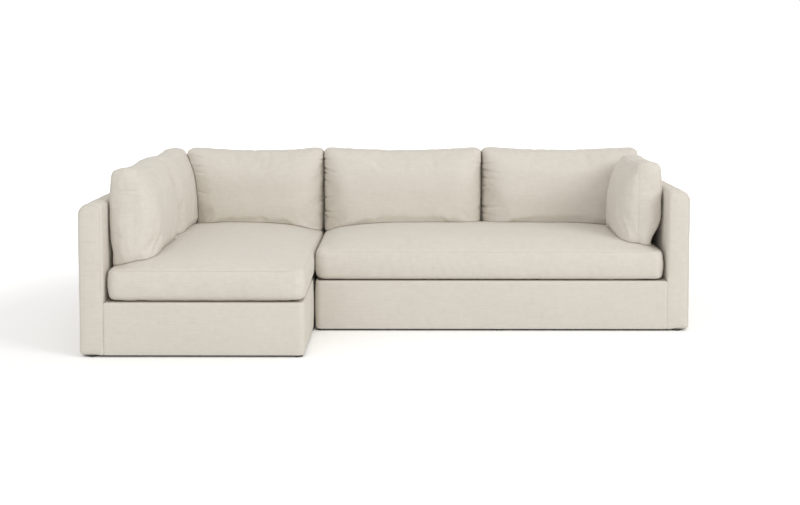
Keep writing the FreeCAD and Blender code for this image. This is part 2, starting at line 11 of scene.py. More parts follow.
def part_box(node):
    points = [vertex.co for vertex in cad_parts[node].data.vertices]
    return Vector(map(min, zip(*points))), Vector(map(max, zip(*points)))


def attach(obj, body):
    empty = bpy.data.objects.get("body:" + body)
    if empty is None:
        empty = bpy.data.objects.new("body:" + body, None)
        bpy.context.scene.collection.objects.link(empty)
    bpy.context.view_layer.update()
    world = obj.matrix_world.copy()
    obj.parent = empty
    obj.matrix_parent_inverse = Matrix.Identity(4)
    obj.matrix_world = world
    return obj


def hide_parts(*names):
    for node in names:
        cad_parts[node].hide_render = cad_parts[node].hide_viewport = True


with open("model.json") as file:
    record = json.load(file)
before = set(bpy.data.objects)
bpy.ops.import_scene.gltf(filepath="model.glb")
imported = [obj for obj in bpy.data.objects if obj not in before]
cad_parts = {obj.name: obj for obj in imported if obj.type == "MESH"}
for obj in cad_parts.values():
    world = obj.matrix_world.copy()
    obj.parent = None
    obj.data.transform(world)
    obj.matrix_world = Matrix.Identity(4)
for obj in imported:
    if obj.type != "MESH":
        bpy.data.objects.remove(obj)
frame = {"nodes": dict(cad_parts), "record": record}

scene = bpy.context.scene
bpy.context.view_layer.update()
print("frame loaded:", len(frame["nodes"]), "nodes")


# ---- mesh helpers

def smoothStep(x, low, high):
    # 0 below low, 1 above high, an S-curve between
    t = np.clip((x - low) / (high - low), 0.0, 1.0)
    return t * t * (3 - 2 * t)


def halfWave(x):
    # half a sine over 0 to 1, highest in the middle
    return np.sin(np.clip(x, 0.0, 1.0) * math.pi)


def crownRise(x, run, full):
    # from 0 at the seam to 1 at run, where it levels off without a crease
    return np.clip(1 - (1 - np.clip(x / run, 0.0, 1.0)) ** 3, 0.0, 1.0) ** full


def gridFaces(rows, columns, closeRows=False, closeColumns=True):
    # quads between neighbouring rows and columns of a point grid
    r = np.arange(rows if closeRows else rows - 1)
    c = np.arange(columns if closeColumns else columns - 1)
    r, c = np.meshgrid(r, c, indexing="ij")
    r2, c2 = (r + 1) % rows, (c + 1) % columns
    corners = [r * columns + c, r * columns + c2, r2 * columns + c2, r2 * columns + c]
    return np.stack(corners, axis=-1).reshape(-1, 4)


def setSmooth(piece, smooth=True):
    piece.data.polygons.foreach_set("use_smooth", np.full(len(piece.data.polygons), smooth))


def newObject(name, data):
    thing = bpy.data.objects.new(name, data)
    scene.collection.objects.link(thing)
    return thing


def makePiece(name, points, faces, weld=1e-5):
    # a mesh with its doubles merged, its slivers gone and its faces turned outwards
    mesh = bpy.data.meshes.new(name)
    faces = faces if isinstance(faces, list) else faces.tolist()
    mesh.from_pydata(np.asarray(points, float).reshape(-1, 3).tolist(), [], faces)
    piece = newObject(name, mesh)
    bm = bmesh.new()
    bm.from_mesh(mesh)
    bmesh.ops.remove_doubles(bm, verts=bm.verts, dist=weld)
    bmesh.ops.dissolve_degenerate(bm, edges=bm.edges, dist=weld * 0.5)
    bmesh.ops.recalc_face_normals(bm, faces=bm.faces)
    bm.to_mesh(mesh)
    bm.free()
    setSmooth(piece)
    mesh.update()
    return piece


def readItems(items, key, kind=np.float32, width=3):
    values = np.empty(len(items) * width, kind)
    items.foreach_get(key, values)
    return values.reshape(-1, width).astype(float) if width > 1 else values


def readPoints(piece):
    return readItems(piece.data.vertices, "co")


def writePoints(piece, points):
    piece.data.vertices.foreach_set("co", np.asarray(points, np.float32).ravel())
    piece.data.update()


def pushOut(piece, offset):
    # each point moves along its normal
    writePoints(piece, readPoints(piece) + readItems(piece.data.vertices, "normal") * offset[:, None])


def applyModifiers(piece):
    dg = bpy.context.evaluated_depsgraph_get()
    done = bpy.data.meshes.new_from_object(piece.evaluated_get(dg))
    piece.modifiers.clear()
    old = piece.data
    piece.data = done
    bpy.data.meshes.remove(old)
    setSmooth(piece)


def subdivide(piece):
    mod = piece.modifiers.new("soften", "SUBSURF")
    mod.levels = mod.render_levels = 1
    applyModifiers(piece)


def nearLoop(points, loop, reach=0.07):
    # distance of each point to the closest point of a flat loop, and how far along the loop that is;
    # points far from the loop's plane or well inside it are left at the reach
    margin, batch = 1.6 * reach, 3000
    step = np.linalg.norm(np.roll(loop, -1, axis=0) - loop, axis=1)
    along = np.concatenate([[0.0], np.cumsum(step)[:-1]])
    best, where = np.full(len(points), reach), np.zeros(len(points))
    centre = loop.mean(axis=0)
    across = np.linalg.svd(loop[::8] - centre, full_matrices=False)[2]
    place = np.abs((points - centre) @ across.T)
    size = np.abs((loop - centre) @ across.T).max(axis=0)
    inside = (place[:, 0] < size[0] - margin) & (place[:, 1] < size[1] - margin)
    close = np.nonzero(~inside & (place[:, 2] < size[2] + reach))[0]
    for start in range(0, len(close), batch):
        part = close[start:start + batch]
        d = ((points[part, None, :] - loop[None, :, :]) ** 2).sum(axis=2)
        k = d.argmin(axis=1)
        best[part] = np.minimum(np.sqrt(d[np.arange(len(part)), k]), reach)
        where[part] = along[k]
    return best, where


def waves(values, seed, lengths, count=5):
    # a sum of sines of random phase, with wavelengths between two lengths, about -1 to 1
    rng = np.random.default_rng(seed)
    total = np.zeros_like(values)
    for length in rng.uniform(lengths[0], lengths[1], count):
        total += np.sin(values * 2 * math.pi / length + rng.uniform(0, 2 * math.pi))
    return total / math.sqrt(count)


rippleCut = {"across": (0.12, 0.34), "along": (0.10, 0.30), "lean": 0.6, "stretch": 1.1}


def ripple(piece, seed, amount):
    # long shallow waves of the cloth: two sums of sines in slanting directions
    x, y, z = readPoints(piece).T
    wave = waves(x + z * rippleCut["lean"], seed, rippleCut["across"])
    wave = wave + waves(y * rippleCut["stretch"] - z, seed + 1, rippleCut["along"])
    pushOut(piece, wave * amount)


def weaveMap(piece, seed, axes):
    # a UV map in metres: each face is laid flat along the two axes that it faces least
    mesh = piece.data
    facing = np.abs(readItems(mesh.polygons, "normal") @ axes.T).argmax(axis=1)
    side = np.repeat(facing, readItems(mesh.polygons, "loop_total", np.int32, 1))
    point = (readPoints(piece) @ axes.T)[readItems(mesh.loops, "vertex_index", np.int32, 1)]
    across = np.where(side == 0, point[:, 1], point[:, 0])
    up = np.where(side == 2, point[:, 1], point[:, 2])
    shift = np.random.default_rng(seed).uniform(0, 3, 2)
    uv = np.stack([across + shift[0], up + shift[1]], axis=1)
    layer = mesh.uv_layers.new(name="weave")
    layer.data.foreach_set("uv", uv.astype(np.float32).ravel())


def tube(name, path, radius, sides=8):
    # a closed round tube along a loop: rings square to the path, turned so that they don't twist
    tangent = np.roll(path, -1, axis=0) - np.roll(path, 1, axis=0)
    tangent /= np.linalg.norm(tangent, axis=1, keepdims=True)
    guide = np.where(np.abs(tangent[:, 2:3]) > 0.9, [[1.0, 0.0, 0.0]], [[0.0, 0.0, 1.0]])
    side = np.cross(tangent, guide)
    side /= np.linalg.norm(side, axis=1, keepdims=True)
    up = np.cross(side, tangent)
    turn = (np.arange(sides) * 2 * math.pi / sides)[None, :, None]
    points = path[:, None, :] + (side[:, None, :] * np.cos(turn) + up[:, None, :] * np.sin(turn)) * radius
    return makePiece(name, points, gridFaces(len(path), sides, closeRows=True), 1e-6)


def inwardOf(outline):
    # unit vectors square to a flat outline, towards its inside
    tangent = np.roll(outline, -1, axis=0) - np.roll(outline, 1, axis=0)
    tangent /= np.linalg.norm(tangent, axis=1, keepdims=True)
    return np.stack([-tangent[:, 1], tangent[:, 0]], axis=1)


# ---- shader helpers

class Sock:
    # a node socket that Python maths can be done on: each operation adds one Math node
    def __init__(self, look, link):
        self.look, self.link = look, link

    def calc(self, operation, *values):
        return self.look.add("ShaderNodeMath", dict(enumerate(values)), operation=operation)

    def __add__(self, other): return self.calc("ADD", self, other)
    def __radd__(self, other): return self.calc("ADD", other, self)
    def __sub__(self, other): return self.calc("SUBTRACT", self, other)
    def __rsub__(self, other): return self.calc("SUBTRACT", other, self)
    def __mul__(self, other): return self.calc("MULTIPLY", self, other)
    def __rmul__(self, other): return self.calc("MULTIPLY", other, self)
    def sin(self): return self.calc("SINE", self)


class Look:
    # one material, or the world, built node by node
    def __init__(self, name, world=None):
        self.material = world or bpy.data.materials.new(name)
        self.material.use_nodes = True
        self.tree = self.material.node_tree
        self.tree.nodes.clear()
        self.out = self.tree.nodes.new("ShaderNodeOutputWorld" if world else "ShaderNodeOutputMaterial")

    def add(self, kind, sockets=None, out=0, **settings):
        node = self.tree.nodes.new(kind)
        for key, value in settings.items():
            setattr(node, key, value)
        for key, value in (sockets or {}).items():
            if isinstance(value, Sock):
                self.tree.links.new(value.link, node.inputs[key])
            else:
                node.inputs[key].default_value = value
        return Sock(self, node.outputs[out])

    def show(self, shader):
        self.tree.links.new(shader.link, self.out.inputs["Surface"])

    def objectPlace(self):
        return self.add("ShaderNodeTexCoord", out="Object")

    def weavePlace(self):
        return self.add("ShaderNodeUVMap", uv_map="weave")

    def split(self, vector):
        # the first two numbers of a vector
        parts = self.add("ShaderNodeSeparateXYZ", {0: vector}).link.node.outputs
        return Sock(self, parts[0]), Sock(self, parts[1])

    def stretch(self, vector, scales):
        return self.add("ShaderNodeVectorMath", {0: vector, 1: scales}, operation="MULTIPLY")

    def mix(self, factor, a, b):
        values = {0: factor, 6: (*a, 1.0), 7: (*b, 1.0)}
        return self.add("ShaderNodeMix", values, 2, data_type="RGBA")

    def noise(self, vector, scale, detail=2.0, rough=0.5):
        values = {"Vector": vector, "Scale": scale, "Detail": detail, "Roughness": rough}
        return self.add("ShaderNodeTexNoise", values)

    def cells(self, vector, scale, **more):
        return self.add("ShaderNodeTexVoronoi", {"Vector": vector, "Scale": scale, **more}, feature="F1")

    def ramp(self, value, stops):
        tone = self.add("ShaderNodeValToRGB", {0: value})
        elements = tone.link.node.color_ramp.elements
        while len(elements) < len(stops):
            elements.new(0.5)
        for element, (position, colour) in zip(elements, stops):
            element.position = position
            element.color = (*colour, 1.0)
        return tone

    def finish(self, colour, roughness, height, distance, strength, **uniform):
        bump = self.add("ShaderNodeBump", {"Height": height, "Distance": distance, "Strength": strength})
        sockets = {"Base Color": colour, "Roughness": roughness, "Normal": bump}
        sockets.update({key.replace("_", " "): value for key, value in uniform.items()})
        self.show(self.add("ShaderNodeBsdfPrincipled", sockets))
        return self.material


# ---- the sofa's cloth

linen = {
    "light": (0.728, 0.686, 0.617), "pale": 1.07,       # pale: the lightest threads against light
    "dark": (0.606, 0.562, 0.490),
    "threadPitch": 0.0017, "wander": 0.0016,            # metres between threads, and that they stray
    "slub": (26.0, 520.0), "longSlub": (9.0, 190.0),    # per metre along a thread and across threads
    "sheen": 0.18,
}


def linenLook(name, shade=1.0):
    look = Look(name)
    place = look.weavePlace()
    drift = look.noise(place, 55.0, 2.0) * linen["wander"]
    u, v = look.split(place)
    # two thread directions, each a little wavy
    turns = 2 * math.pi / linen["threadPitch"]
    weave = ((v + drift) * turns).sin() * ((u + drift) * turns).sin()

    # slubs: thick and pale or dark stretches of single threads, along the weft and along the warp
    def slubs(scales, detail, rough):
        return [look.noise(look.stretch(place, (*pair, 1.0)), 1.0, detail, rough)
                for pair in (scales, scales[::-1])]

    weftSlub, warpSlub = slubs(linen["slub"], 3.0, 0.55)
    longSlub, longWarp = slubs(linen["longSlub"], 2.0, 0.5)
    mottle = look.noise(place, 34.0, 3.0, 0.6)
    cloud = look.noise(place, 4.0, 2.0, 0.5)
    tone = weave * 0.04 + 0.5
    for value, share in ((weftSlub, 0.55), (warpSlub, 0.26), (longSlub, 0.42), (longWarp, 0.12),
                         (mottle, 0.34), (cloud, 0.22)):
        tone = tone + (value - 0.5) * share
    light, dark = [tuple(c * shade for c in linen[key]) for key in ("light", "dark")]
    colour = look.ramp(tone, [(0.0, dark), (0.62, light), (1.0, tuple(c * linen["pale"] for c in light))])
    rough = 0.86 + (weftSlub - 0.5) * 0.12
    height = weave * 0.30 + weftSlub * 0.9 + warpSlub * 0.6 + longSlub * 0.5
    return look.finish(colour, rough, height, 0.0009, 0.55, Sheen_Weight=linen["sheen"], Sheen_Roughness=0.45,
                       Sheen_Tint=(1.0, 0.98, 0.94, 1.0), Specular_IOR_Level=0.22)


cushionLinen = linenLook("cushionLinen")
bodyLinen = linenLook("bodyLinen", 0.995)
# a darker copy of the linen for the seam welts: painted shade along the seams
seamShadeLinen = linenLook("seamShadeLinen", 0.93)


def dress(piece, material, body, nodes=(), seed=None, axes=np.eye(3)):
    # material, the weave's UV map where a seed is given, and what the piece is on the real sofa
    if seed is not None:
        weaveMap(piece, seed, axes)
    piece.data.materials.clear()
    piece.data.materials.append(material)
    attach(piece, body)
    if nodes:
        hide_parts(*nodes)


def upholster(piece, body, node, cut, seed, welts, axes=np.eye(3)):
    # dresses a padded cover, then lays each seam's fold on the finished surface as a thin welt with painted
    # shade
    material, slotName = (cushionLinen, "cushion_fabric") if body in places else (bodyLinen, "body_fabric")
    dress(piece, material, body, [node], seed, axes)
    tree = BVHTree.FromObject(piece, bpy.context.evaluated_depsgraph_get())
    for name, loop in welts.items():
        path = np.array([list(tree.find_nearest(Vector(p))[0]) for p in loop])
        for _ in range(2):
            path = (np.roll(path, 1, axis=0) + path * 2 + np.roll(path, -1, axis=0)) / 4
        dress(tube(name, path, cut["welt"]), seamShadeLinen, body, seed=seed + 3, axes=axes)


# ---- cushions

places, seatHeight, sideReach = {}, {}, {}      # filled as the cushions are made
zipProud = 0.0012       # how far the zip chain stands out of the CAD cover's flat side
facings = {             # unit vectors along, up and outwards, and towards the side with the zip
    "up": ((1, 0, 0), (0, 1, 0), (0, 0, 1), (0, 1, 0)),         # lies on its deck
    "front": ((1, 0, 0), (0, 0, 1), (0, -1, 0), (0, 1, 0)),     # stands against the back
    "right": ((0, 1, 0), (0, 0, 1), (1, 0, 0), (-1, 0, 0)),     # stands against the long arm
    "left": ((0, -1, 0), (0, 0, 1), (-1, 0, 0), (1, 0, 0)),     # stands against the short arm
}


def boxOf(node):
    return [np.array(corner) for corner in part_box(node)]


def cushionPlace(node, facing):
    # a cushion's own axes, the corner where they start and its sizes, from its CAD box less the zip
    low, high = boxOf(node)
    along, up, out, zipSide = np.array(facings[facing], float)
    low, high = low + zipProud * (zipSide < 0), high - zipProud * (zipSide > 0)
    length, height, thick = [abs(axis @ (high - low)) for axis in (along, up, out)]
    return {"origin": np.where(along + up + out > 0, low, high), "axes": np.array([along, up, out]),
            "length": length, "height": height, "thick": thick,
            "zipSide": zipSide, "zipFace": np.where(zipSide > 0, high, low) @ zipSide}


def toWorld(place, local):
    return place["origin"] + local @ place["axes"]


def toLocal(place, points):
    return (points - place["origin"]) @ place["axes"].T


def roundedOutline(length, height, radii, count):
    # a rectangle with four rounded corners, as evenly spaced points: bottom left, bottom right, top
    # right, top left
    dense = []
    for x, y, r, start in zip((0, length, length, 0), (0, 0, height, height), radii, (180, 270, 0, 90)):
        a = np.radians(start + np.linspace(0, 90, 24))
        dense.append(np.stack([abs(x - r) + r * np.cos(a), abs(y - r) + r * np.sin(a)], axis=1))
    closed = np.concatenate([*dense, dense[0][:1]])
    step = np.concatenate([[0], np.cumsum(np.linalg.norm(np.diff(closed, axis=0), axis=1))])
    want = np.linspace(0, step[-1], count, endpoint=False)
    return np.stack([np.interp(want, step, closed[:, 0]), np.interp(want, step, closed[:, 1])], axis=1)


# edge: level of the front seam; rim: rounding of the hidden side; run, full: how far the crown falls
# towards a seam and how full it stays; sideDraw, backDraw: how far those panels pull in; sink: how far
# the foot presses into the seat; spare: extra cloth; ripple, gather, groove: heights on the surface
seatCut = {
    "voxel": 0.017, "edge": 0.150, "rim": 0.0072, "boxBulge": 0.008, "plan": 0.050, "footSeam": 0.013,
    "runs": (0.60, 0.46), "full": 0.84, "crownLoss": 0.012, "pressure": 3.0, "cap": 0.010, "spare": -0.006,
    "ripple": 0.0006, "gather": 0.0014, "groove": 0.0026, "fill": 0.85, "welt": 0.0013,
    "past": ((-0.001, -0.008, 0.0), (0.0015, 0.0, 0.004)),      # may pass the CAD box by this
}
backCut = {
    "voxel": 0.0118, "edge": 0.112, "rim": 0.014, "boxBulge": 0.004, "puffRoom": 0.012,
    "runTop": 0.300, "runEnd": 0.210, "fullTop": 0.60, "fullEnd": 0.55, "topRadius": 0.024,
    "footRadius": 0.040, "sideDraw": 0.0, "backDraw": 0.0, "sink": 0.022,
    "pressure": 3.2, "cap": 0.012, "spare": -0.012, "ripple": 0.0011, "gather": 0.0012, "groove": 0.0030,
}
sideCut = {
    "voxel": 0.0128, "edge": 0.122, "rim": 0.026, "boxBulge": 0.010, "puffRoom": 0.010,
    "runTop": 0.400, "runEnd": 0.170, "fullTop": 0.95, "fullEnd": 0.60, "topRadius": 0.034,
    "footRadius": 0.055, "sideDraw": 0.002, "backDraw": 0.012, "sink": 0.034,
    "runFoot": 0.070, "fullFoot": 0.50, "footShare": 0.45,      # footShare: fullness left at the foot
    "pressure": 3.4, "cap": 0.013, "spare": -0.010, "ripple": 0.0011, "gather": 0.0012, "groove": 0.0012,
}


def ringTable(*groups):
    # share of the outline, level and bulge of every ring, as columns, and which rings are on the crown
    rings = np.concatenate([np.column_stack(np.broadcast_arrays(*group)) for group in groups])
    isCrown = np.arange(len(rings)) >= len(rings) - len(groups[-1][0])
    return *rings.T[..., None], isCrown[:, None]


def closedRings(rows, columns):
    # quads along the rings, and one face across each end
    ring = np.arange(columns)
    return [*gridFaces(rows, columns).tolist(), ring[::-1].tolist(), (ring + (rows - 1) * columns).tolist()]


def seatShell(name, place, cut):
    # rings out along the flat underside, up the boxing and in over the crown, whose height is crownRise
    # along the length times crownRise along the depth; the seams go round the boxing's top and foot
    edge, rim, bulges = cut["edge"], cut["rim"], cut["boxBulge"]
    size = np.array([place["length"], place["height"]])
    away = roundedOutline(*size, [cut["plan"]] * 4, 420) - size / 2
    outward = away / np.linalg.norm(away, axis=1, keepdims=True)
    under, box = np.linspace(0.02, 1.0, 14), np.linspace(0.0, 1.0, 12)[1:]
    crown = 1 - np.linspace(0.0, 1.0, 40)[1:] ** 1.6 * 0.985
    share, level, bulge, isCrown = ringTable(
        (under, rim * smoothStep(under, 0.80, 1.0), 0.0),
        (1.0, rim + (edge - rim) * box, bulges * halfWave(box)), (crown, edge, 0.0))
    flat = size / 2 + away * share[..., None] + outward * (bulge - bulges)[..., None]
    toSeam = np.minimum(flat, size - flat)
    rise = [crownRise(toSeam[..., k], cut["runs"][k], cut["full"]) for k in (0, 1)]
    top = edge + (place["thick"] - cut["crownLoss"] - edge) * rise[0] * rise[1]
    points = np.dstack([flat, np.where(isCrown, top, level)])
    outline = roundedOutline(*(size - 2 * bulges), [cut["plan"]] * 4, 560) + bulges
    seams = {key: toWorld(place, np.column_stack([outline, np.full(len(outline), level)]))
             for key, level in (("front", edge), ("rear", cut["footSeam"]))}
    return makePiece(name, toWorld(place, points), closedRings(*points.shape[:2])), seams


def uprightShell(name, place, cut, settings, foot):
    # rings as on a seat cushion; the top dips between its corners by a power of half a sine, the sides
    # draw in by its square, and the foot follows the seat
    length, height, edge, rim = place["length"], place["height"], cut["edge"], cut["rim"]
    thick = place["thick"] - cut["puffRoom"]
    middle, dipPower, topShare, touch, lead = 0.47, 1.2, 0.55, 0.002, 0.004
    reach = settings.get("reach", (0.0, 0.0))
    centre = np.array([length / 2, height * middle])
    away = roundedOutline(length, height, [cut["footRadius"]] * 2 + [cut["topRadius"]] * 2, 360) - centre
    outward = away / np.linalg.norm(away, axis=1, keepdims=True)
    rear, turn = np.linspace(0.03, 0.95, 10), np.linspace(0, math.pi / 2, 5)
    box = np.linspace(0.0, 1.0, 9)[1:]
    crown = 1 - np.linspace(0.0, 1.0, 34)[1:] ** 1.5 * 0.98
    share, level, bulge, isCrown = ringTable(
        (rear, 0.0, 0.0), (1.0, rim * (1 - np.cos(turn)), rim * (np.sin(turn) - 1)),
        (1.0, rim + (edge - rim) * box, cut["boxBulge"] * halfWave(box)), (crown, edge, 0.0))

    def endReach(w):
        # the first end reaches past the pattern, more at the top than at the foot
        return reach[0] + (reach[1] - reach[0]) * w / height

    inner = np.where(isCrown, thick * 0.8, level)
    s, w = np.moveaxis(centre + away * share[..., None], -1, 0)
    w = w - settings["dip"] * halfWave(s / length) ** dipPower * smoothStep(w, height * topShare, height)
    s = s + cut["sideDraw"] * halfWave(w / height) ** 2 * (1 - 2 * s / length)
    low = foot(s, inner)
    w = low + w * (height - low) / height
    s = s - endReach(w) * (1 - s / length) ** 3
    push = bulge - cut["boxBulge"] + touch
    s, w = s + outward[:, 0] * push, w + outward[:, 1] * push
    toEnd = np.minimum(s + endReach(w), length - s)
    toTop = height - settings["dip"] * halfWave(s / length) ** dipPower - w
    rise = crownRise(toEnd + lead, cut["runEnd"], cut["fullEnd"])
    rise = rise * crownRise(toTop + lead, cut["runTop"], cut["fullTop"])
    if "footShare" in cut:
        footRise = crownRise(w - foot(s, inner) + lead, cut["runFoot"], cut["fullFoot"])
        rise = rise * (cut["footShare"] + (1 - cut["footShare"]) * footRise)
    out = np.where(isCrown, edge + (thick - edge) * rise, level)
    # the back panel leaves the arm towards the top and the foot
    drawn = cut["backDraw"] * (1 - halfWave(w / height)) ** 1.5
    drawn = drawn + settings.get("footDraw", 0.0) * (1 - smoothStep(w, -0.03, 0.11))
    out = out + drawn * (1 - smoothStep(out, 0.0, edge))
    points = toWorld(place, np.dstack([s, w, out]))
    rearRing, frontRing = len(rear) + 2, len(rear) + len(turn) + len(box) - 1
    seams = {"front": points[frontRing], "rear": points[rearRing]}
    return makePiece(name, points, closedRings(*points.shape[:2])), seams


clothCut = {
    "quality": 3, "mass": 0.35, "tension_stiffness": 18, "compression_stiffness": 18, "shear_stiffness": 6,
    "bending_stiffness": 0.8, "use_pressure": True, "vertex_group_mass": "seams", "pin_stiffness": 4.0,
}
puffFrames = 14


def remesh(piece, voxel):
    mod = piece.modifiers.new("even", "REMESH")
    mod.mode = "VOXEL"
    mod.voxel_size = voxel
    mod.use_smooth_shade = True
    applyModifiers(piece)


def puff(piece, seams, cut):
    # a cloth under pressure, held along its seams, with a little spare cloth so that it gathers there
    before = readPoints(piece)
    pins = piece.vertex_groups.new(name="seams")
    distance = np.minimum(nearLoop(before, seams["front"])[0], nearLoop(before, seams["rear"])[0])
    weights = np.clip(1.3 - distance / (cut["voxel"] * 1.1), 0.0, 1.0)
    for level in np.linspace(0.2, 1.0, 5):
        chosen = np.nonzero((weights > level - 0.2) & (weights <= level))[0]
        pins.add(chosen.tolist(), float(level), "REPLACE")
    cloth = piece.modifiers.new("puff", "CLOTH")
    for key, value in clothCut.items():
        setattr(cloth.settings, key, value)
    cloth.settings.uniform_pressure_force = cut["pressure"]
    cloth.settings.shrink_min = cut["spare"]
    cloth.settings.effector_weights.gravity = 0.0
    cloth.collision_settings.use_self_collision = False
    cloth.collision_settings.use_collision = False
    cloth.point_cache.frame_start, cloth.point_cache.frame_end = 1, puffFrames
    for f in range(1, puffFrames + 1):
        scene.frame_set(f)
    applyModifiers(piece)
    scene.frame_set(1)
    move = readPoints(piece) - before
    size = np.linalg.norm(move, axis=1, keepdims=True)
    move = np.where(np.isfinite(move), move, 0.0) * np.minimum(1.0, cut["cap"] / np.maximum(size, 1e-9))
    writePoints(piece, before + move)
    piece.vertex_groups.clear()
    print("  puffed", piece.name, len(before), "points, moved up to", round(float(size.max()), 4))


stitchCut = {
    "gathers": (0.016, 0.034), "patches": (0.18, 0.45),     # wavelengths along the seam
    "reach": 0.030, "clear": 0.008, "grooveWidth": 0.0065,  # across it
}


def stitch(piece, seams, seed, gather, groove):
    # a groove along each seam, and gathers that fade out into the panels
    points = readPoints(piece)
    offset = np.zeros(len(points))
    for k, key in enumerate(("front", "rear")):
        distance, along = nearLoop(points, seams[key])
        ridges = waves(along, seed + k, stitchCut["gathers"])
        patches = np.clip(0.35 + 0.65 * waves(along, seed + 10 + k, stitchCut["patches"], 3), 0.0, 1.2)
        fade = np.exp(-distance / stitchCut["reach"]) * (1 - np.exp(-(distance / stitchCut["clear"]) ** 2))
        offset += gather * ridges * patches * fade
        offset -= groove * np.exp(-(distance / stitchCut["grooveWidth"]) ** 2)
    pushOut(piece, offset)


def soften(piece, seams, cut, seed):
    # even faces and a puff of air, then the waves and seams that a voxel mesh would lose
    remesh(piece, cut["voxel"])
    puff(piece, seams, cut)
    subdivide(piece)
    ripple(piece, seed, cut["ripple"])
    stitch(piece, seams, seed, cut["gather"], cut["groove"])


def keepIn(piece, low, high):
    # no point leaves the box that the piece has between its neighbours
    writePoints(piece, np.clip(readPoints(piece), low, high))


def heightMap(piece, order=(0, 1, 2), cell=0.014):
    # how far a piece reaches along its third axis over each cell of a grid on the first two
    nowhere = -9.0
    p = readPoints(piece)[:, list(order)]
    low = p[:, :2].min(axis=0) - cell
    size = np.ceil((p[:, :2].max(axis=0) + cell - low) / cell).astype(int) + 1
    grid = np.full(size, nowhere)
    spot = np.floor((p[:, :2] - low) / cell).astype(int)
    np.maximum.at(grid, (spot[:, 0], spot[:, 1]), p[:, 2])
    for _ in range(3):
        around = np.max([np.roll(grid, s, axis=a) for a in (0, 1) for s in (-1, 1)], axis=0)
        grid = np.where(grid == nowhere, around, grid)

    def height(x, y):
        gx = np.clip((x - low[0]) / cell - 0.5, 0, size[0] - 1.001)
        gy = np.clip((y - low[1]) / cell - 0.5, 0, size[1] - 1.001)
        i, j = np.floor(gx).astype(int), np.floor(gy).astype(int)
        fx, fy = gx - i, gy - j
        return ((grid[i, j] * (1 - fx) + grid[i + 1, j] * fx) * (1 - fy)
                + (grid[i, j + 1] * (1 - fx) + grid[i + 1, j + 1] * fx) * fy)
    return height


def makeSeat(name, seed):
    node = name + "_cover"
    place = places[name] = cushionPlace(node, "up")
    piece, seams = seatShell(name + "Cushion", place, seatCut)
    soften(piece, seams, seatCut, seed)
    keepIn(piece, *[corner + past for corner, past in zip(boxOf(node), seatCut["past"])])
    welts = {name + "TopSeam": seams["front"][::2], name + "FootSeam": seams["rear"][::2]}
    upholster(piece, name, node, seatCut, seed, welts)
    seatHeight[name] = heightMap(piece)


makeSeat("chaise_seat", 11)
makeSeat("bench_seat", 23)
print("seat cushions made")


uprights = {
    "rear_side": {"facing": "right", "seat": "chaise_seat", "dip": 0.008, "seed": 74, "welts": ["rear"]},
    "front_side": {"facing": "right", "seat": "chaise_seat", "dip": 0.008, "seed": 63, "welts": ["rear"]},
    "arm_side": {"facing": "left", "seat": "bench_seat", "dip": 0.006, "seed": 88,
                 "footDraw": 0.042},        # its foot leaves the short arm by this
    "corner_back": {"facing": "front", "seat": "chaise_seat", "dip": 0.015, "seed": 31,
                    "reach": (0.045, 0.085), "pressedBy": "rear_side"},     # past its CAD box, foot and top
    "middle_back": {"facing": "front", "seat": "bench_seat", "dip": 0.015, "seed": 42},
    "right_back": {"facing": "front", "seat": "bench_seat", "dip": 0.015, "seed": 57},
}
uprightCut = {
    "welt": 0.0014, "fill": 0.7, "seatGap": 0.0012, "sideGap": 0.0015, "endPast": 0.002, "frontPast": 0.02,
}
# short creases in from a side seam: end (0 is the first), height in percent, length and depth in mm
puckers = {
    "corner_back": [(0, 90, 45, 3), (0, 78, 50, 4), (0, 70, 40, 3), (0, 45, 50, 3),
                    (1, 85, 35, 3), (1, 30, 35, 3)],
    "middle_back": [(0, 86, 40, 3), (0, 74, 60, 5), (0, 67, 50, 4), (0, 58, 40, 4),
                    (0, 34, 50, 4), (0, 16, 60, 5), (0, 10, 50, 4), (1, 80, 40, 3)],
    "right_back": [(0, 80, 50, 4), (0, 72, 60, 5), (0, 62, 50, 4), (0, 50, 40, 3),
                   (0, 22, 70, 5), (0, 14, 50, 4), (1, 92, 50, 4)],
    "front_side": [(0, 75, 30, 2)], "rear_side": [(0, 80, 30, 3)], "arm_side": [(0, 60, 30, 2)],
}


def crease(local, place, cut, marks):
    # each crease is a narrow valley across the seam, deepest just inside it and gone after its length:
    # one bell curve less a wider one, both opening inwards
    move = np.zeros(len(local))
    for end, *sizes in marks:
        share, reach, depth = np.array(sizes) / (100, 1000, 1000)
        inwards = place["length"] - local[:, 0] if end else local[:, 0]
        wander = local[:, 1] - place["height"] * share - inwards * 0.25 * math.sin(share * 40)
        valley = np.exp(-(wander / (0.0050 + inwards * 0.06)) ** 2)
        valley -= 0.45 * np.exp(-(wander / (0.014 + inwards * 0.1)) ** 2)
        fade = np.exp(-(inwards / reach) ** 2) * smoothStep(local[:, 2], 0.02, cut["edge"] * 0.8)
        move -= 2.3 * depth * valley * fade
    return move


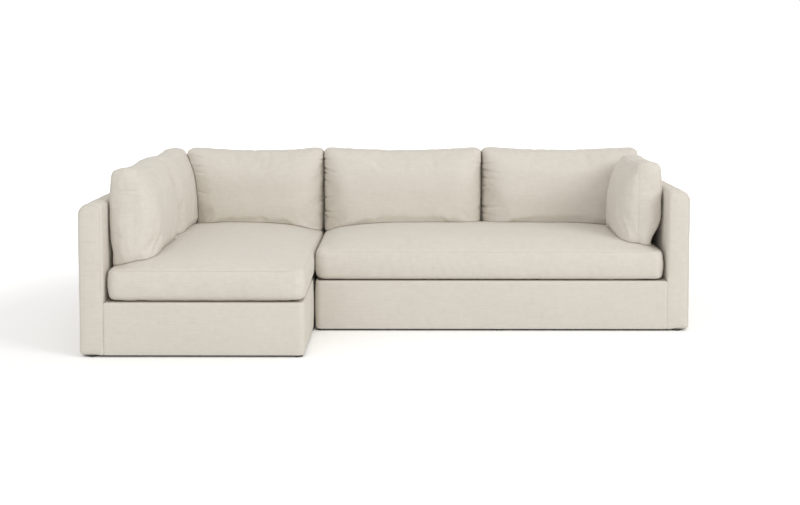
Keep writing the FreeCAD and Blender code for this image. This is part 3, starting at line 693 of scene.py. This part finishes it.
def makeUpright(name, settings):
    node = name + "_cover"
    cut, seed = backCut if settings["facing"] == "front" else sideCut, settings["seed"]
    place = places[name] = cushionPlace(node, settings["facing"])
    height = seatHeight[settings["seat"]]

    def foot(s, level):
        p = toWorld(place, np.dstack([s, 0.0 * s, level + 0.0 * s]))
        return np.clip(height(p[..., 0], p[..., 1]) - place["origin"][2] - cut["sink"], -0.095, 0.2)

    piece, seams = uprightShell(name + "Cushion", place, cut, settings, foot)
    soften(piece, seams, cut, seed)
    pushOut(piece, crease(toLocal(place, readPoints(piece)), place, cut, puckers[name]))
    # what the cushion touches presses it flat
    local = toLocal(place, readPoints(piece))
    past, reach = uprightCut["endPast"], max(settings.get("reach", (0.0, 0.0)))
    local[:, 0] = np.clip(local[:, 0], -past - reach, place["length"] + past)
    local[:, 2] = np.clip(local[:, 2], 0.0, place["thick"] + uprightCut["frontPast"])
    points = toWorld(place, local)
    points[:, 2] = np.maximum(points[:, 2], height(points[:, 0], points[:, 1]) + uprightCut["seatGap"])
    if "pressedBy" in settings:
        beside = sideReach[settings["pressedBy"]](points[:, 1], points[:, 2])
        points[:, 0] = np.maximum(points[:, 0], beside + uprightCut["sideGap"])
    writePoints(piece, points)
    welts = {name + key.capitalize() + "Seam": seams[key] for key in settings.get("welts", ("front", "rear"))}
    upholster(piece, name, node, uprightCut, seed, welts, place["axes"][[0, 2, 1]])
    sideReach[name] = heightMap(piece, (1, 2, 0))


for name, settings in uprights.items():
    makeUpright(name, settings)
print("upright cushions made")


# ---- upholstered body: arms, backs, bases

# outer, inner: radii along the top edges; foot, innerFoot: along the foot; end: round the two ends;
# sharp: where the cover is sewn to the base; bow: how far a side stands out in the middle
armCut = {
    "outer": 0.056, "inner": 0.026, "foot": 0.019, "innerFoot": 0.005, "end": 0.018, "sharp": 0.004,
    "bow": 0.0025, "ringGap": 0.022, "ripple": 0.0004, "fill": 0.8, "welt": 0.0012,
}
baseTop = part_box("chaise_deck_cloth")[1].z


def slabPiece(name, node, axis, radii, endBulge, seed, startSharp=None):
    # rings of a rounded section along one axis, which shrink along a quarter circle near each end and
    # close over a shallow dome
    low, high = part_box(node)
    a0, width, height = low[1 - axis], high[1 - axis] - low[1 - axis], high.z - low.z
    length, end = high[axis] - low[axis], armCut["end"]
    outline = roundedOutline(width, height, radii, 300)
    inward = inwardOf(outline)
    soft = np.full(len(outline), end)
    sharp = soft if startSharp is None else startSharp(outline[:, 0] + a0, outline[:, 1] + low.z, soft)
    spine = np.clip(outline, width / 2, [width / 2, height - width / 2])
    bow = armCut["bow"] * halfWave(outline[:, 1] / height) ** 0.7

    def ring(distance, r):
        inset = np.where(distance < r, r - np.sqrt(np.clip(r * r - (r - distance) ** 2, 0, None)), 0.0)
        return outline + inward * (inset - bow * smoothStep(distance, 0.0, 0.12))[:, None]

    turn = end * (1 - np.cos(np.linspace(0, math.pi / 2, 7)))
    middle = np.linspace(end * 1.2, length - end * 1.2, max(4, int(length / armCut["ringGap"])))
    closing = np.linspace(1.0, 0.12, 8)
    starts, ends = [endBulge[k] * (1 - (1 - closing) ** 3) for k in (0, 1)]
    first, last = ring(0.0, sharp), ring(0.0, soft)
    rings = [first + (spine - first) * share for share in closing]
    rings += [ring(d, sharp) for d in turn]
    rings += [ring(min(d, length - d), sharp if d < length / 2 else soft) for d in middle]
    rings += [ring(d, soft) for d in turn[::-1]]
    rings += [last + (spine - last) * share for share in closing[::-1]]
    along = np.concatenate([-starts, turn, middle, length - turn[::-1], length + ends[::-1]])
    points = np.empty((len(rings), len(outline), 3))
    points[..., axis] = low[axis] + along[:, None]
    points[..., 1 - axis] = a0 + np.array(rings)[..., 0]
    points[..., 2] = low.z + np.array(rings)[..., 1]
    piece = makePiece(name, points, gridFaces(*points.shape[:2]), 1e-4)
    ripple(piece, seed, armCut["ripple"])
    return piece, points[10], points[-11]


def makeArm(module, armIsLeft, seed):
    node = module + "_arm_cover"
    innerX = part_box(node)[armIsLeft].x
    keys = ("foot", "innerFoot", "inner", "outer") if armIsLeft else ("innerFoot", "foot", "outer", "inner")
    radii = [armCut[key] for key in keys]

    def joined(x, z, radius):
        # the edge beside the base is a flat seam; above the base it opens into a soft rounding
        beside = 1 - smoothStep(np.abs(x - innerX), 0.002, 0.050)
        beside = beside * (1 - smoothStep(z, baseTop - 0.02, baseTop + 0.05))
        return radius + (armCut["sharp"] - radius) * beside

    piece, front, rear = slabPiece(module + "Arm", node, 1, radii, (0.003, 0.001), seed, joined)
    welts = {module + "ArmFrontSeam": front, module + "ArmRearSeam": rear}
    upholster(piece, module, node, armCut, seed, welts)


def makeBack(module, armIsLeft, seed):
    node = module + "_back_cover"
    radii = [armCut[key] for key in ("innerFoot", "foot", "inner", "inner")]
    endBulge = (0.0, 0.0048) if armIsLeft else (0.0048, 0.0)
    piece, left, right = slabPiece(module + "Back", node, 0, radii, endBulge, seed)
    welts = {module + "BackEndSeam": right if armIsLeft else left}
    upholster(piece, module, node, armCut, seed, welts)


# corner: radius of the open front corner; rim, hem: radii at the top and foot; band: thickness
baseCut = {
    "corner": 0.030, "sharp": 0.002, "rim": 0.009, "hem": 0.004, "band": 0.0145, "bow": 0.0035, "past": 0.004,
}


def makeBase(module, armIsLeft, seed):
    # a band round the footprint: hem, outer face that bows by half a sine, rounded rim, and down inside
    # to the deck
    node = module + "_base_cover"
    low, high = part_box(node)
    corner, sharp, rim, hem, band, bow, past = baseCut.values()
    tall = high.z - low.z
    radii = [sharp, corner, sharp, sharp] if armIsLeft else [corner, sharp, sharp, sharp]
    outline = roundedOutline(high.x - low.x, high.y - low.y, radii, 900)
    foot, top = np.linspace(0.3, math.pi / 2, 4), np.linspace(0.25, math.pi / 2, 5)
    face = np.linspace(0, 1, 12)[1:]
    inset = np.array([band, hem, *hem * (1 - np.sin(foot)), *-bow * halfWave(face), *rim * (1 - np.cos(top)),
                      band - sharp, band, band])
    level = np.array([0.0, 0.0, *hem * (1 - np.cos(foot)), *hem + (tall - rim - hem) * face,
                      *tall - rim + rim * np.sin(top), tall, tall - sharp, tall * 0.5])
    flat = outline + inwardOf(outline) * inset[:, None, None]
    points = np.dstack([flat, np.broadcast_to(level[:, None], flat.shape[:2])]) + list(low)
    piece = makePiece(module + "Base", points, gridFaces(*points.shape[:2], closeRows=True))
    left, right = (0.0, past) if armIsLeft else (past, 0.0)
    keepIn(piece, (low.x - left, low.y - past, low.z), (high.x + right, high.y, high.z))
    upholster(piece, module, node, armCut, seed, {})


for make, seeds in ((makeArm, (101, 113)), (makeBack, (127, 131)), (makeBase, (149, 151))):
    make("chaise", True, seeds[0])
    make("sofa", False, seeds[1])
print("arms, backs and bases made")


# ---- deck cloths and dust cloths

clothSheet = {"rows": 60, "below": 0.0006, "thickness": 0.0010}     # below: under the CAD cloth's top


def makeCloth(module, kind, material, sag, seed):
    # a stretched sheet: a flat grid that sags by a product of two half sines, given its thickness
    node = f"{module}_{kind}_cloth"
    low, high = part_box(node)
    rows = clothSheet["rows"]
    u, v = np.meshgrid(*[np.linspace(0, 1, rows)] * 2, indexing="ij")
    z = high.z - clothSheet["below"] - sag * halfWave(u) * halfWave(v)
    points = np.dstack([low.x + (high.x - low.x) * u, low.y + (high.y - low.y) * v, z])
    faces = gridFaces(rows, rows, closeColumns=False)
    piece = makePiece(module + kind.capitalize() + "Cloth", points, faces, 1e-6)
    if piece.data.polygons[0].normal.z < 0:
        piece.data.flip_normals()
    solid = piece.modifiers.new("thickness", "SOLIDIFY")
    solid.thickness = clothSheet["thickness"]
    solid.offset = -1
    applyModifiers(piece)
    dress(piece, material, module, [node], seed)


def deckLook():
    look = Look("deckCloth")
    place = look.weavePlace()
    u, v = look.split(place)
    twill = ((u + v) * (2 * math.pi / 0.0014)).sin()
    tone = look.noise(place, 40.0, 3.0) * 0.6 + look.noise(place, 400.0, 1.0) * 0.4 + twill * 0.06
    colour = look.ramp(tone, [(0.3, (0.46, 0.42, 0.36)), (0.75, (0.60, 0.56, 0.50))])
    return look.finish(colour, 0.9, twill * 0.5 + tone, 0.0004, 0.4)


def dustLook():
    look = Look("dustCloth")
    place = look.weavePlace()
    fibres = look.noise(place, 900.0, 4.0, 0.7)
    dots = look.cells(place, 420.0, Randomness=0.15)
    colour = look.ramp(fibres, [(0.3, (0.030, 0.030, 0.031)), (0.7, (0.060, 0.059, 0.058))])
    return look.finish(colour, 0.92, fibres * 0.6 + dots * 0.8, 0.0003, 0.5)


deckMaterial, dustMaterial = deckLook(), dustLook()
for module in ("chaise", "sofa"):
    makeCloth(module, "deck", deckMaterial, 0.0008, 7)
    makeCloth(module, "dust", dustMaterial, 0.0, 9)
print("cloths made")


# ---- foam cores

def foamLook():
    look = Look("foam")
    place = look.objectPlace()
    cells = look.cells(place, 700.0)
    tone = look.noise(place, 12.0, 2.0) * 0.5 + cells * 0.6
    colour = look.ramp(tone, [(0.15, (0.70, 0.60, 0.38)), (0.7, (0.87, 0.79, 0.58))])
    return look.finish(colour, 0.95, cells, 0.0006, 0.7)


foamMaterial = foamLook()
foamCut = {"radius": 0.008, "rows": 22}


def foamSlab(name):
    # a box with rounded edges: its points are pushed out from a smaller box by one radius
    low, high = boxOf(name + "_core")
    radius, rows = foamCut["radius"], foamCut["rows"]
    s = np.linspace(-1, 1, rows)
    u, v = np.meshgrid(*[np.sign(s) * np.abs(s) ** 0.5] * 2, indexing="ij")
    q = np.zeros((6, rows, rows, 3))
    for side in range(6):
        axis = side // 2
        q[side, ..., axis] = side % 2 * 2 - 1
        q[side, ..., (axis + 1) % 3] = u
        q[side, ..., (axis + 2) % 3] = v
    faces = gridFaces(rows, rows, closeColumns=False) + (np.arange(6) * rows * rows)[:, None, None]
    half = (high - low) / 2
    outer = q.reshape(-1, 3) * half
    inner = np.clip(outer, -(half - radius), half - radius)
    away = outer - inner
    away /= np.maximum(np.linalg.norm(away, axis=1, keepdims=True), 1e-9)
    piece = makePiece(name + "Foam", (high + low) / 2 + inner + away * radius, faces.reshape(-1, 4))
    dress(piece, foamMaterial, name, [name + "_core"])


for name in places:
    foamSlab(name)
print("foam cores made")


# ---- zips

zipCut = {
    "tape": (0.024, 0.0006), "tooth": (0.0013, 0.0024, 0.0011), "pitch": 0.0032,
    "split": 0.0008, "margin": 0.120,       # of a row from the middle, and of the zip from each end
}


def zipLook():
    look = Look("zipTape")
    tone = look.noise(look.objectPlace(), 700.0, 2.0)
    colour = look.ramp(tone, [(0.3, (0.50, 0.47, 0.40)), (0.7, (0.62, 0.58, 0.51))])
    return look.finish(colour, 0.75, tone, 0.0002, 0.5)


zipMaterial = zipLook()


def makeZip(name):
    # a row of small blocks, left and right teeth in turn, over a flat tape on the cushion's hidden side
    place, pitch = places[name], zipCut["pitch"]
    along, out = place["axes"][0], place["zipSide"]
    axes = np.array([along, np.cross(out, along), out])
    length = place["length"] - 2 * zipCut["margin"]
    base = sum(boxOf(name + "_zip_slider")) / 2
    base = base + along * ((place["origin"] - base) @ along + zipCut["margin"])
    base = base + out * (place["zipFace"] - base @ out)
    k = np.arange(int(length / pitch))
    block = np.array([[x, y, z] for x in (-0.5, 0.5) for y in (-0.5, 0.5) for z in (0.0, 1.0)])
    quads = np.array([[0, 1, 3, 2], [4, 6, 7, 5], [0, 4, 5, 1], [2, 3, 7, 6], [0, 2, 6, 4], [1, 5, 7, 3]])
    centre = np.column_stack([k * pitch + pitch, (k % 2 * 2 - 1) * zipCut["split"], 0.0 * k])
    teeth = block * np.array(zipCut["tooth"]) + centre[:, None, :]
    tape = block * np.array([length, *zipCut["tape"]]) + [length / 2, 0, 0]
    local = np.concatenate([teeth.reshape(-1, 3), tape])
    faces = quads[None] + (np.arange(len(k) + 1) * 8)[:, None, None]
    piece = makePiece(name + "Zip", base + local @ axes, faces.reshape(-1, 4), 1e-7)
    setSmooth(piece, False)
    dress(piece, zipMaterial, name)


for name in places:
    makeZip(name)
print("zips made")


# ---- finishes for the carried-over parts

def woodLook():
    look = Look("frameWood")
    place = look.objectPlace()
    rings = look.noise(look.stretch(place, (3.0, 3.0, 26.0)), 3.0, 4.0, 0.6)
    pores = look.noise(look.stretch(place, (20.0, 20.0, 240.0)), 4.0, 2.0)
    tone = ((rings * 26.0).sin() * 0.5 + 0.5) * 0.55 + pores * 0.45
    colour = look.ramp(tone, [(0.15, (0.46, 0.31, 0.17)), (0.85, (0.66, 0.50, 0.32))])
    return look.finish(colour, 0.62 + pores * 0.2, tone, 0.0004, 0.4)


def webbingLook():
    look = Look("webbing")
    place = look.objectPlace()
    x, y = look.split(place)
    turns = 2 * math.pi / 0.0022        # two threads each way every 2.2 mm
    cross = (x * turns).sin() * (y * turns).sin()
    fibres = look.noise(place, 260.0, 3.0, 0.6)
    tone = fibres * 0.7 + cross * 0.15 + 0.15
    colour = look.ramp(tone, [(0.2, (0.16, 0.12, 0.08)), (0.8, (0.36, 0.29, 0.20))])
    return look.finish(colour, 0.85, cross * 0.5 + fibres, 0.0006, 0.6)


def steelLook():
    look = Look("connectorSteel")
    place = look.objectPlace()
    brushed = look.noise(look.stretch(place, (40.0, 900.0, 40.0)), 1.0, 3.0, 0.6)
    spangle = look.cells(place, 160.0)
    colour = look.ramp(spangle * 0.5 + brushed * 0.5, [(0.2, (0.50, 0.51, 0.53)), (0.8, (0.68, 0.69, 0.70))])
    return look.finish(colour, 0.28 + brushed * 0.18, brushed, 0.0001, 0.4, Metallic=1.0)


def glideLook():
    look = Look("glidePlastic")
    place = look.objectPlace()
    grain = look.noise(place, 1200.0, 2.0, 0.6)
    scuff = look.noise(place, 90.0, 3.0, 0.7)
    colour = look.ramp(scuff, [(0.35, (0.035, 0.032, 0.030)), (0.75, (0.085, 0.080, 0.075))])
    return look.finish(colour, 0.42 + scuff * 0.3, grain, 0.0001, 0.5)


def enamelLook():
    look = Look("zipEnamel")
    chips = look.noise(look.objectPlace(), 500.0, 3.0, 0.7)
    wear = look.ramp(chips, [(0.62, (0.0, 0.0, 0.0)), (0.70, (1.0, 1.0, 1.0))])
    colour = look.mix(wear, (0.60, 0.56, 0.49), (0.45, 0.44, 0.42))
    return look.finish(colour, 0.34 + chips * 0.2, chips, 0.00005, 0.4, Coat_Roughness=0.2)


finishes = {
    "frame_wood": woodLook(), "webbing": webbingLook(), "connector_steel": steelLook(),
    "glide_plastic": glideLook(), "zip_metal": enamelLook(),
}
slotOf = {row["node"]: row["material_slot"] for row in frame["record"]["subparts"]}
for node, part in frame["nodes"].items():
    if slotOf[node] in finishes:
        part.data.materials.clear()
        part.data.materials.append(finishes[slotOf[node]])
print("finishes set")


# ---- connector screws

screwCut = {
    "head": ((0.0001, 0.0018, 0.0032, 0.0040, 0.0042, 0.0001), (0.0020, 0.00195, 0.0015, 0.0007, 0.0, 0.0)),
    "sides": 24, "plate": 0.0026, "rows": (-0.045, 0.515),
    "chaise": ("connector_sockets", 1, 0.028, 0.160),       # node, facing, place across and up
    "sofa": ("connector_hooks", -1, 0.008, 0.1865),
}


def makeScrews(body):
    # pan heads: a profile of radius and height, about a quarter ellipse, turned about an axis along X
    node, facing, across, up = screwCut[body]
    low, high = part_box(node)
    start = low.x + screwCut["plate"] if facing > 0 else high.x - screwCut["plate"]
    r, h = np.array(screwCut["head"])[..., None]
    turn = np.linspace(0, 2 * math.pi, screwCut["sides"], endpoint=False)
    head = np.dstack([start + facing * h + 0 * turn, r * np.cos(turn), up + r * np.sin(turn)])
    points = np.array([head + [0.0, row + y, 0.0] for row in screwCut["rows"] for y in (-across, across)])
    faces = gridFaces(*head.shape[:2]) + (np.arange(4) * r.size * turn.size)[:, None, None]
    piece = makePiece(body + "ConnectorScrews", points, faces.reshape(-1, 4), 1e-6)
    dress(piece, finishes["connector_steel"], body)


makeScrews("chaise")
makeScrews("sofa")
print("screws made")


# ---- floor, light and camera

stageCut = {
    "floorSize": 14.0, "floorWhite": 0.86, "floorNear": 1.13, "floorFar": 1.7, "paling": (2.2, 4.2),
    "sky": (1.0, 0.995, 0.985, 1.0), "world": 0.79, "key": 390.0, "fill": 42.0,
}


def makeFloor():
    # the object sees a plain white floor; the camera sees it paler away from the object
    s = stageCut["floorSize"]
    mesh = bpy.data.meshes.new("floor")
    mesh.from_pydata([(-s, -s, 0), (s, -s, 0), (s, s, 0), (-s, s, 0)], [], [(0, 1, 2, 3)])
    floor = newObject("floor", mesh)
    look = Look("floorWhite")
    diffuse = look.add("ShaderNodeBsdfDiffuse", {"Color": (*[stageCut["floorWhite"]] * 3, 1.0)})
    distance = look.add("ShaderNodeVectorMath", {0: look.objectPlace()}, "Value", operation="LENGTH")
    spread = look.add("ShaderNodeMapRange", dict(enumerate((distance, *stageCut["paling"]))))
    near, far = [[stageCut[key]] * 3 for key in ("floorNear", "floorFar")]
    paper = look.add("ShaderNodeBsdfDiffuse", {"Color": look.mix(spread, near, far)})
    seen = look.add("ShaderNodeLightPath", out="Is Camera Ray")
    look.show(look.add("ShaderNodeMixShader", {0: seen, 1: diffuse, 2: paper}))
    mesh.materials.append(look.material)


def makeSky():
    # soft light all round; the camera and glossy surfaces see plain white instead
    scene.world = bpy.data.worlds.new("studio")
    sky = Look("studio", scene.world)
    soft = sky.add("ShaderNodeBackground", {"Color": stageCut["sky"], "Strength": stageCut["world"]})
    white = sky.add("ShaderNodeBackground", {"Color": (1.0, 1.0, 1.0, 1.0), "Strength": 1.0})
    seen, glossy = [sky.add("ShaderNodeLightPath", out=f"Is {kind} Ray") for kind in ("Camera", "Glossy")]
    sky.show(sky.add("ShaderNodeMixShader", {0: seen.calc("MAXIMUM", seen, glossy), 1: soft, 2: white}))


def makeLamp(name, place, target, size, power, colour=(1.0, 1.0, 1.0)):
    light = bpy.data.lights.new(name, "AREA")
    light.shape = "RECTANGLE"
    light.size, light.size_y = size
    light.energy = power
    light.color = colour
    lamp = newObject(name, light)
    lamp.location = place
    lamp.rotation_euler = (Vector(target) - Vector(place)).to_track_quat("-Z", "Y").to_euler()


makeFloor()
makeSky()
makeLamp("key", (8.5, -6.5, 6.2), (-0.2, 0.1, 0.3), (5.0, 5.0), stageCut["key"], (1.0, 0.998, 0.99))
makeLamp("fill", (-0.8, -6.4, 2.8), (0.0, 0.0, 0.4), (3.4, 2.4), stageCut["fill"])

cameraCut = {
    "place": (0.0392, -6.7463, 1.4319), "pitch": -4.11, "yaw": 0.246, "shift": (-0.0006, -0.1347),
    "focal": 1275.96, "imageWidth": 800.0, "sensor": 36.0,      # focal in pixels of the image
}
camera = scene.camera = newObject("camera", bpy.data.cameras.new("camera"))
camera.location = cameraCut["place"]
camera.rotation_euler = (math.radians(90 + cameraCut["pitch"]), 0.0, math.radians(cameraCut["yaw"]))
camera.data.sensor_width = cameraCut["sensor"]
camera.data.lens = cameraCut["focal"] * cameraCut["sensor"] / cameraCut["imageWidth"]
camera.data.shift_x, camera.data.shift_y = cameraCut["shift"]
scene.view_settings.view_transform = "Standard"
print("stage and camera set")
